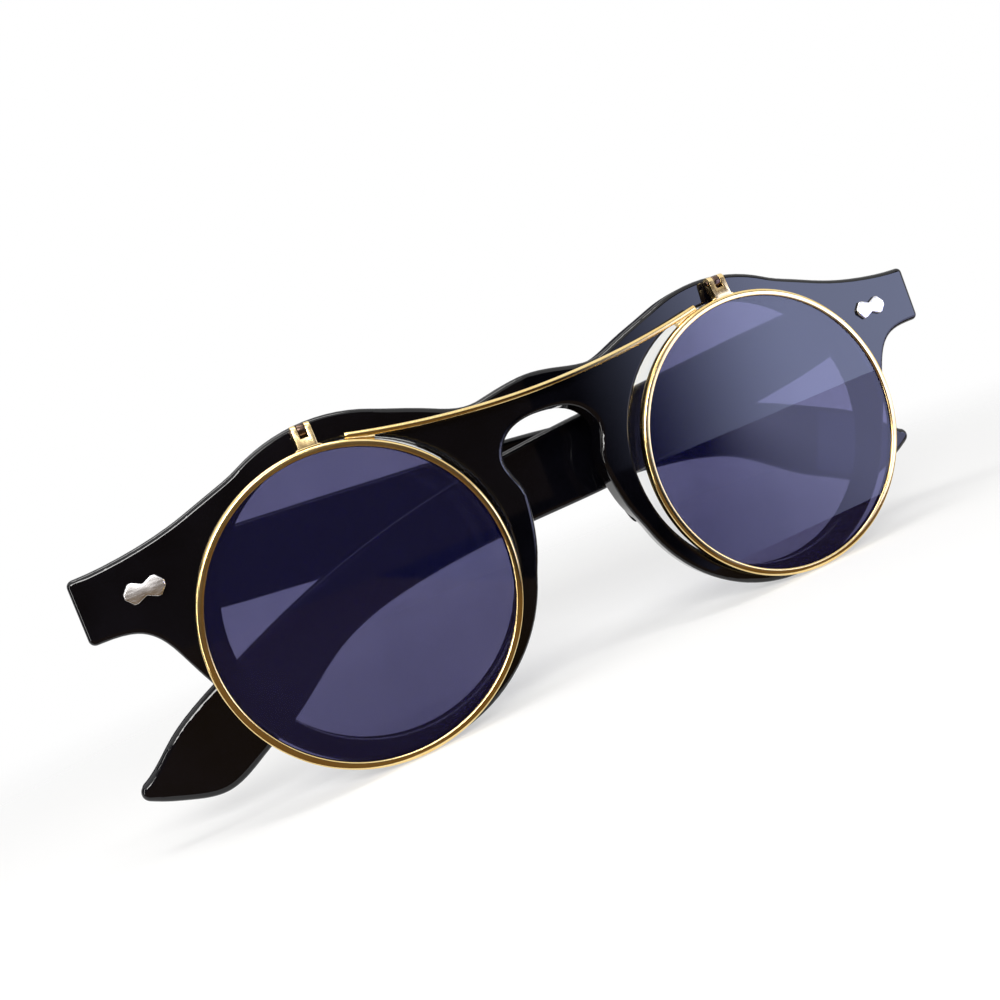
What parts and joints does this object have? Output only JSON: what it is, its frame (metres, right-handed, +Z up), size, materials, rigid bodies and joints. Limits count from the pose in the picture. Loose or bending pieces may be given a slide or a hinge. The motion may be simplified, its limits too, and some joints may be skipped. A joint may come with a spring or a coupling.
{
  "type": "flip-up sunglasses",
  "caption": "Round black acetate spectacles with a keyhole bridge, clear lenses and folding temples, and a gold-rimmed tinted pair that flips up on pinned brackets.",
  "frame": {"origin": "top of the keyhole nose gap, on the centre line, at the middle of the front's thickness", "axes": "+X towards the wearer's left along the front, +Y back towards the wearer's face, +Z up"},
  "size_m": [0.1456, 0.0173, 0.0508],
  "materials": {
    "black_acetate": "polished black acetate",
    "clear_lens": "clear, polished",
    "tinted_lens": "navy grey tint, polished",
    "gold_metal": "polished gold plate",
    "silver_plaque": "bright silver plate",
    "hinge_metal": "nickel silver",
    "dark_metal": "black plated"
  },
  "bodies": {
    "front": {"front_frame": "black_acetate", "left_clear_lens": "clear_lens", "left_nose_pad": "black_acetate", "left_plaque": "silver_plaque", "left_front_hinge": "hinge_metal", "left_hinge_screw": "hinge_metal", "left_flip_base": "dark_metal", "right_clear_lens": "clear_lens", "right_nose_pad": "black_acetate", "right_plaque": "silver_plaque", "right_front_hinge": "hinge_metal", "right_hinge_screw": "hinge_metal", "right_flip_base": "dark_metal"},
    "left_arm": {"left_temple": "black_acetate", "left_temple_hinge": "hinge_metal", "left_core_wire": "hinge_metal"},
    "right_arm": {"right_temple": "black_acetate", "right_temple_hinge": "hinge_metal", "right_core_wire": "hinge_metal"},
    "flip_pair": {"flip_bar": "gold_metal", "left_flip_rim": "gold_metal", "left_flip_lens": "tinted_lens", "left_flip_bracket": "gold_metal", "left_flip_pin": "gold_metal", "right_flip_rim": "gold_metal", "right_flip_lens": "tinted_lens", "right_flip_bracket": "gold_metal", "right_flip_pin": "gold_metal"}
  },
  "joints": [
    {"name": "left_temple_fold", "type": "hinge", "parent": "front", "child": "left_arm", "pos_m": [0.06505, 0.00445, -0.00352], "axis": [0, 0, -1], "range_deg": [0, 90]},
    {"name": "right_temple_fold", "type": "hinge", "parent": "front", "child": "right_arm", "pos_m": [-0.06505, 0.00775, -0.00352], "axis": [-0.0209, 0, 0.9998], "range_deg": [0, 90]},
    {"name": "flip_up", "type": "hinge", "parent": "front", "child": "flip_pair", "pos_m": [0, -0.00335, 0.00945], "axis": [-1, 0, 0], "range_deg": [0, 100]}
  ]
}
